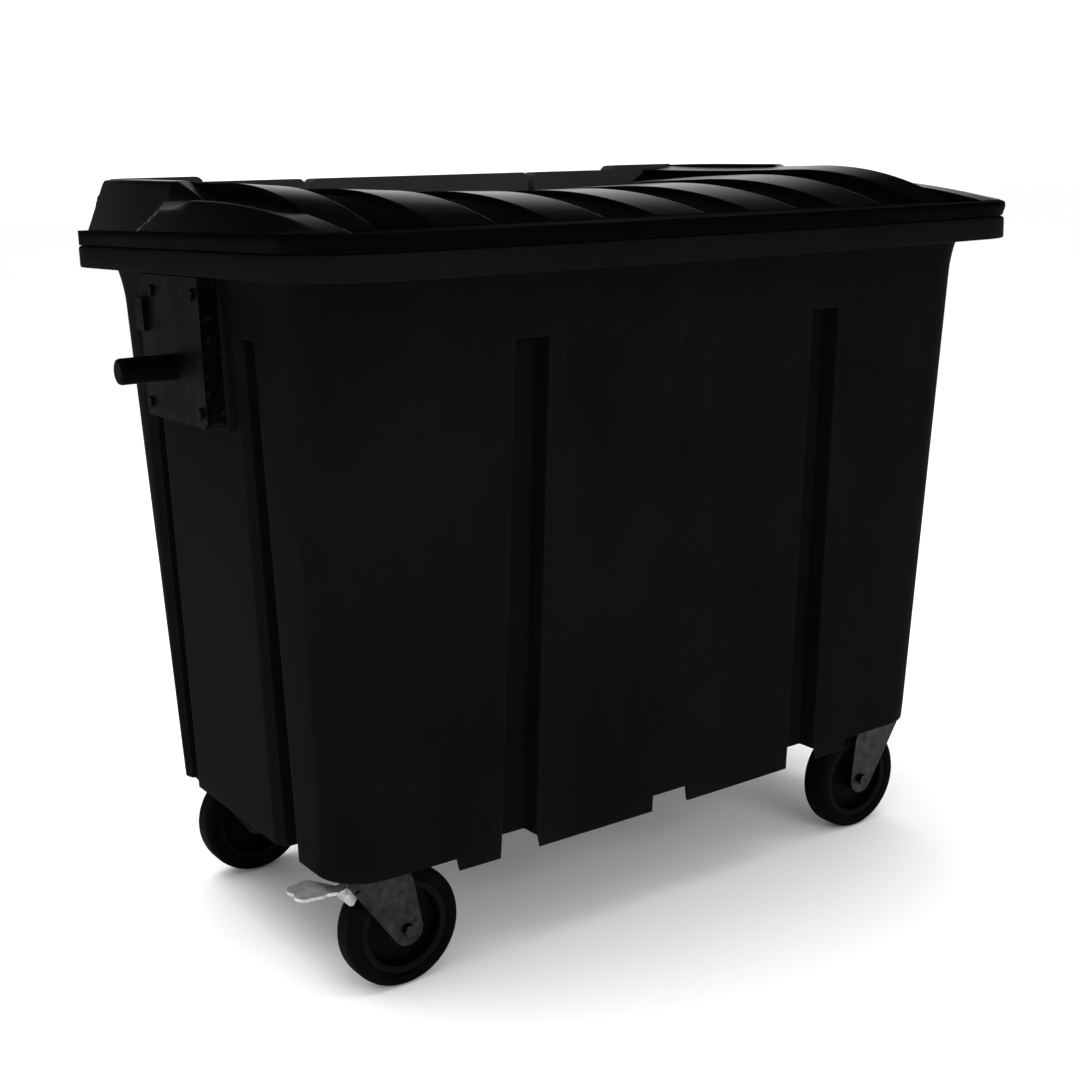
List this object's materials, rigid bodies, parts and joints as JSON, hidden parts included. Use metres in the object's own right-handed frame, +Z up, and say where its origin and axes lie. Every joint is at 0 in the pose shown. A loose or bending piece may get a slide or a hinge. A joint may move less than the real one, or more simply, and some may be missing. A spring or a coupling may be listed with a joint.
{
  "type": "four_wheeled_waste_container",
  "caption": "Black four-wheeled waste container with tapered ribbed walls, a rear-hinged banded lid, side lifting trunnions, swivel casters and a foot brake",
  "frame": {"origin": "On the floor below the middle of the rim, halfway between its foremost point and its rear edge", "axes": "+X to the container's right seen from the front (along the rim and the hinge), -Y to the front, +Z up"},
  "size_m": [1.522, 1.015, 1.243],
  "materials": {
    "moulded_black": "satin",
    "moulded_grey": "satin",
    "black_paint": "matte",
    "zinc_steel": "satin",
    "bright_steel": "satin",
    "wheel_black": "satin",
    "tyre_rubber": "matte"
  },
  "bodies": {
    "container": {"tub": "moulded_black", "hinge_rod": "zinc_steel", "hinge_bracket_1": "moulded_black", "hinge_bracket_2": "moulded_black", "hinge_bracket_3": "moulded_black", "hinge_bracket_4": "moulded_black", "hinge_bolts": "zinc_steel", "trunnion_bracket_left": "black_paint", "trunnion_bracket_right": "black_paint", "trunnion_pin_left": "black_paint", "trunnion_pin_right": "black_paint", "trunnion_bolts": "black_paint", "caster_bolts": "zinc_steel", "caster_nuts": "zinc_steel", "caster_plate_front_left": "zinc_steel", "caster_plate_front_right": "zinc_steel", "caster_plate_rear_left": "zinc_steel", "caster_plate_rear_right": "zinc_steel", "swivel_race_front_left": "zinc_steel", "swivel_race_front_right": "zinc_steel", "swivel_race_rear_left": "zinc_steel", "swivel_race_rear_right": "zinc_steel", "king_bolt_front_left": "zinc_steel", "king_bolt_front_right": "zinc_steel", "king_bolt_rear_left": "zinc_steel", "king_bolt_rear_right": "zinc_steel"},
    "lid_assembly": {"lid": "moulded_black", "hinge_bar_left": "moulded_grey", "hinge_bar_middle": "moulded_grey", "hinge_bar_right": "moulded_grey"},
    "caster_front_left": {"fork_front_left": "zinc_steel", "axle_bolt_front_left": "zinc_steel", "pedal_pin": "bright_steel"},
    "wheel_front_left": {"wheel_bush_front_left": "zinc_steel", "wheel_rim_front_left": "wheel_black", "tyre_front_left": "tyre_rubber"},
    "caster_front_right": {"fork_front_right": "zinc_steel", "axle_bolt_front_right": "zinc_steel"},
    "wheel_front_right": {"wheel_bush_front_right": "zinc_steel", "wheel_rim_front_right": "wheel_black", "tyre_front_right": "tyre_rubber"},
    "caster_rear_left": {"fork_rear_left": "zinc_steel", "axle_bolt_rear_left": "zinc_steel"},
    "wheel_rear_left": {"wheel_bush_rear_left": "zinc_steel", "wheel_rim_rear_left": "wheel_black", "tyre_rear_left": "tyre_rubber"},
    "caster_rear_right": {"fork_rear_right": "zinc_steel", "axle_bolt_rear_right": "zinc_steel"},
    "wheel_rear_right": {"wheel_bush_rear_right": "zinc_steel", "wheel_rim_rear_right": "wheel_black", "tyre_rear_right": "tyre_rubber"},
    "pedal": {"brake_pedal": "bright_steel"}
  },
  "joints": [
    {"name": "lid_hinge", "type": "hinge", "parent": "container", "child": "lid_assembly", "pos_m": [0, 0.428, 1.2], "axis": [-1, 0, 0], "range_deg": [0, 180]},
    {"name": "swivel_front_left", "type": "hinge", "parent": "container", "child": "caster_front_left", "pos_m": [-0.534, -0.236, 0.21], "axis": [0, 0, 1], "continuous": true},
    {"name": "spin_front_left", "type": "hinge", "parent": "caster_front_left", "child": "wheel_front_left", "pos_m": [-0.492, -0.236, 0.098], "axis": [0, 1, 0], "continuous": true},
    {"name": "swivel_front_right", "type": "hinge", "parent": "container", "child": "caster_front_right", "pos_m": [0.534, -0.236, 0.21], "axis": [0, 0, 1], "continuous": true},
    {"name": "spin_front_right", "type": "hinge", "parent": "caster_front_right", "child": "wheel_front_right", "pos_m": [0.492, -0.236, 0.098], "axis": [0, 1, 0], "continuous": true},
    {"name": "swivel_rear_left", "type": "hinge", "parent": "container", "child": "caster_rear_left", "pos_m": [-0.534, 0.304, 0.21], "axis": [0, 0, 1], "continuous": true},
    {"name": "spin_rear_left", "type": "hinge", "parent": "caster_rear_left", "child": "wheel_rear_left", "pos_m": [-0.492, 0.304, 0.098], "axis": [0, 1, 0], "continuous": true},
    {"name": "swivel_rear_right", "type": "hinge", "parent": "container", "child": "caster_rear_right", "pos_m": [0.534, 0.304, 0.21], "axis": [0, 0, 1], "continuous": true},
    {"name": "spin_rear_right", "type": "hinge", "parent": "caster_rear_right", "child": "wheel_rear_right", "pos_m": [0.492, 0.304, 0.098], "axis": [0, 1, 0], "continuous": true},
    {"name": "brake", "type": "hinge", "parent": "caster_front_left", "child": "pedal", "pos_m": [-0.572, -0.236, 0.18], "axis": [0, -1, 0], "range_deg": [0, 18]}
  ]
}
